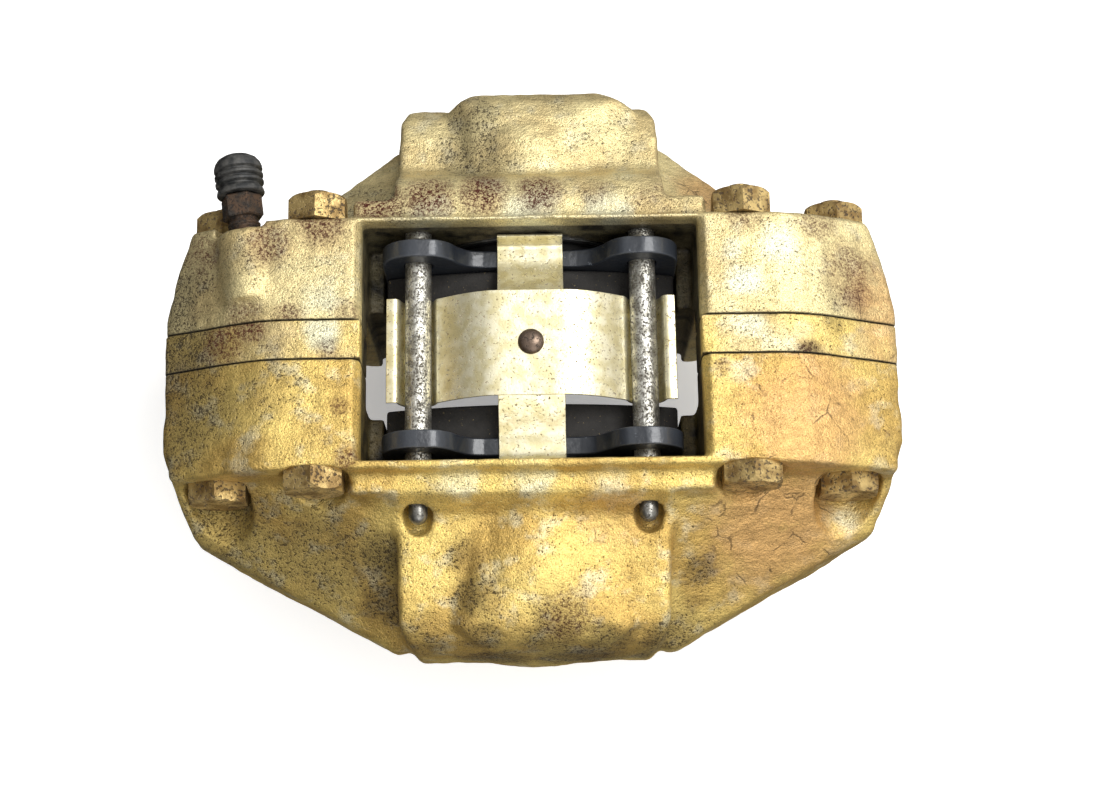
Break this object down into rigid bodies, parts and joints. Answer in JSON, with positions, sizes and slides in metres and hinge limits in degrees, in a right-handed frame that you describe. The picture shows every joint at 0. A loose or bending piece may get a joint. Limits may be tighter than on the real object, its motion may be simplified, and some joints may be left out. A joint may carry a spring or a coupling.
{
  "type": "fixed brake caliper",
  "caption": "Fixed two-piston brake caliper for a vented disc: bolted halves with spacers, pads on pins, a cross spring and a capped bleeder.",
  "frame": {"origin": "centre of the two mounting holes, on the lugs' inboard mounting face", "axes": "+X along the caliper, +Y across the disc towards the inboard side, +Z away from the axle"},
  "size_m": [0.221, 0.183, 0.105],
  "materials": {
    "plated_casting": "yellow zinc plating over rough sand-cast iron, worn and rusted",
    "plated_fastener": "yellow zinc plated forged steel, grimy",
    "piston_chrome": "ground and chrome plated",
    "rubber": "moulded rubber, dusty",
    "ring_steel": "bright zinc plated pressed steel",
    "pad_paint": "satin dark blue-grey paint on blanked steel",
    "friction_lining": "pressed and ground friction material",
    "pin_steel": "drawn steel, pitted and rusted",
    "spring_steel": "pale yellow passivated spring strip",
    "rivet_steel": "browned steel",
    "bleeder_steel": "blackened steel, oily"
  },
  "bodies": {
    "caliper": {"inboard_housing": "plated_casting", "outboard_housing": "plated_casting", "left_spacer": "plated_casting", "right_spacer": "plated_casting", "bridge_bolts": "plated_fastener", "bridge_nuts": "plated_fastener", "inboard_piston_seal": "rubber", "outboard_piston_seal": "rubber", "inboard_dust_boot": "rubber", "outboard_dust_boot": "rubber", "inboard_boot_ring": "ring_steel", "outboard_boot_ring": "ring_steel", "left_pad_pin": "pin_steel", "right_pad_pin": "pin_steel", "pin_sleeves": "pin_steel", "spring_bridge": "spring_steel", "spring_strap": "spring_steel", "spring_rivet": "rivet_steel", "passage_seals": "rubber"},
    "inboard_piston": {"inboard_piston": "piston_chrome"},
    "outboard_piston": {"outboard_piston": "piston_chrome"},
    "inboard_pad": {"inboard_backing_plate": "pad_paint", "inboard_lining": "friction_lining"},
    "outboard_pad": {"outboard_backing_plate": "pad_paint", "outboard_lining": "friction_lining"},
    "bleeder": {"bleeder_screw": "bleeder_steel"},
    "bleeder_cap": {"bleeder_cap": "rubber"}
  },
  "joints": [
    {"name": "inboard_piston_slide", "type": "slide", "parent": "caliper", "child": "inboard_piston", "axis": [0, -1, 0], "range_m": [0, 0.01]},
    {"name": "outboard_piston_slide", "type": "slide", "parent": "caliper", "child": "outboard_piston", "axis": [0, 1, 0], "range_m": [0, 0.01]},
    {"name": "inboard_pad_slide", "type": "slide", "parent": "caliper", "child": "inboard_pad", "axis": [0, -1, 0], "range_m": [0, 0.01]},
    {"name": "outboard_pad_slide", "type": "slide", "parent": "caliper", "child": "outboard_pad", "axis": [0, 1, 0], "range_m": [0, 0.01]},
    {"name": "bleeder_turn", "type": "hinge", "parent": "caliper", "child": "bleeder", "pos_m": [-0.0858, -0.021, 0.082], "axis": [-0.1305, 0.9914, 0], "range_deg": [0, 180]},
    {"name": "cap_pull", "type": "slide", "parent": "bleeder", "child": "bleeder_cap", "axis": [-0.1305, 0.9914, 0], "range_m": [0, 0.014]}
  ],
  "couplings": [
    {"joint": "inboard_pad_slide", "follows": "inboard_piston_slide", "ratio": 1},
    {"joint": "outboard_pad_slide", "follows": "outboard_piston_slide", "ratio": 1}
  ]
}
